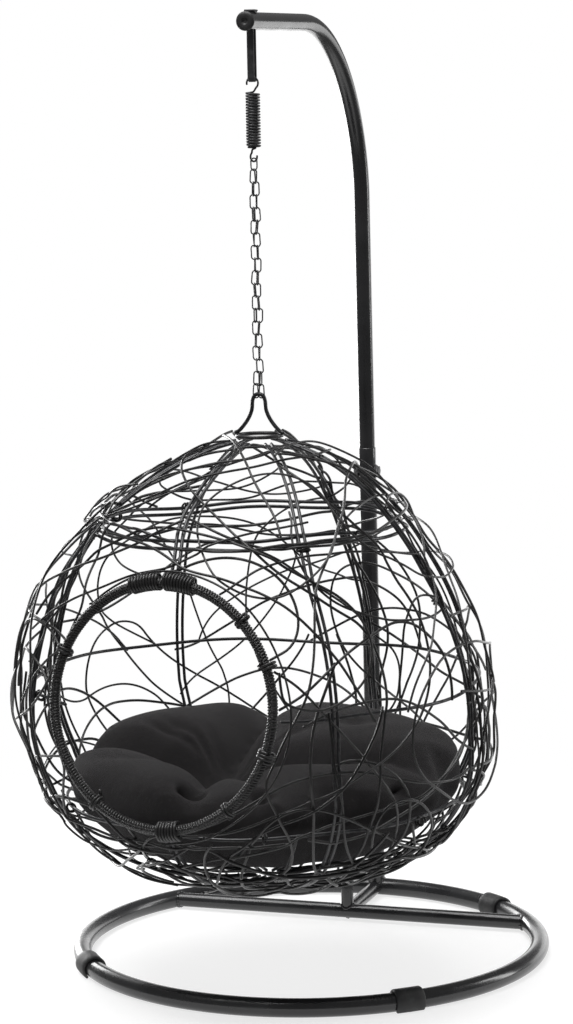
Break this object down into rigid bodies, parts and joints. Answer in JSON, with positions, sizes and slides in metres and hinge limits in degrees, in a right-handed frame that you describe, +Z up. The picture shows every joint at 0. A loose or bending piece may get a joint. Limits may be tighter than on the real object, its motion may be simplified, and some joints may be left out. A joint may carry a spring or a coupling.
{
  "type": "hanging egg chair",
  "caption": "Round woven basket seat with a front door opening and a tufted cushion, hung by spring and chain from a curved pole on a ring base.",
  "frame": {"origin": "on the floor, under the middle of the bounding box", "axes": "+Z up, -Y is the front where the door faces, the pole stands on the +Y side, +X to the right seen from the front"},
  "size_m": [0.4448, 0.5526, 0.8695],
  "materials": {
    "stand_paint": "satin black powder coat",
    "hardware": "black coated steel",
    "chain_steel": "black coated steel",
    "clip_plastic": "matt",
    "basket_wire": "satin black",
    "rattan": "round synthetic rattan, black, satin",
    "cushion_fabric": "matt woven polyester, charcoal"
  },
  "bodies": {
    "stand": {"base_ring": "stand_paint", "crossbar": "stand_paint", "foot_strut": "stand_paint", "pole_brace": "stand_paint", "lower_post": "stand_paint", "upper_pole": "stand_paint", "pole_spigot": "hardware", "pole_bolt": "hardware", "pole_nut": "hardware", "foot_clip_1": "clip_plastic", "foot_clip_2": "clip_plastic", "foot_clip_3": "clip_plastic", "foot_clip_4": "clip_plastic", "arm_end_cap": "clip_plastic", "hanger_strap": "hardware", "hanger_plate": "hardware"},
    "spring": {"spring": "chain_steel"},
    "hook_link": {"hook_link": "chain_steel"},
    "chain": {"chain_left": "chain_steel", "chain_right": "chain_steel"},
    "basket": {"bail": "basket_wire", "crown_ring": "basket_wire", "door_ring": "rattan", "rib_1": "basket_wire", "rib_2": "basket_wire", "rib_3": "basket_wire", "rib_4": "basket_wire", "rib_5": "basket_wire", "rib_6": "basket_wire", "rib_7": "basket_wire", "rib_over_door": "basket_wire", "rib_under_door": "basket_wire", "hoop_upper": "basket_wire", "hoop_widest": "basket_wire", "hoop_lower": "basket_wire", "hoop_bottom": "basket_wire", "woven_panel_1": "rattan", "woven_panel_2": "rattan", "woven_panel_3": "rattan", "woven_panel_4": "rattan", "woven_panel_5": "rattan", "woven_panel_6": "rattan", "woven_panel_7": "rattan", "woven_panel_8": "rattan", "cushion": "cushion_fabric"}
  },
  "joints": [
    {"name": "swing_fore_aft", "type": "hinge", "parent": "stand", "child": "spring", "pos_m": [0, -0.06763, 0.8086], "axis": [1, 0, 0], "range_deg": [-25, 9]},
    {"name": "spring_stretch", "type": "slide", "parent": "spring", "child": "hook_link", "axis": [0, 0, -1], "range_m": [0, 0.015], "stiffness_N_per_m": 3000, "springref_m": -0.012, "deforming": ["spring"]},
    {"name": "swing_side", "type": "hinge", "parent": "hook_link", "child": "chain", "pos_m": [0, -0.06763, 0.7306], "axis": [0, 1, 0], "range_deg": [-20, 20]},
    {"name": "swivel", "type": "hinge", "parent": "chain", "child": "basket", "pos_m": [0, -0.06763, 0.53525], "axis": [0, 0, 1], "range_deg": [-180, 180], "deforming": ["chain_left", "chain_right"]}
  ]
}
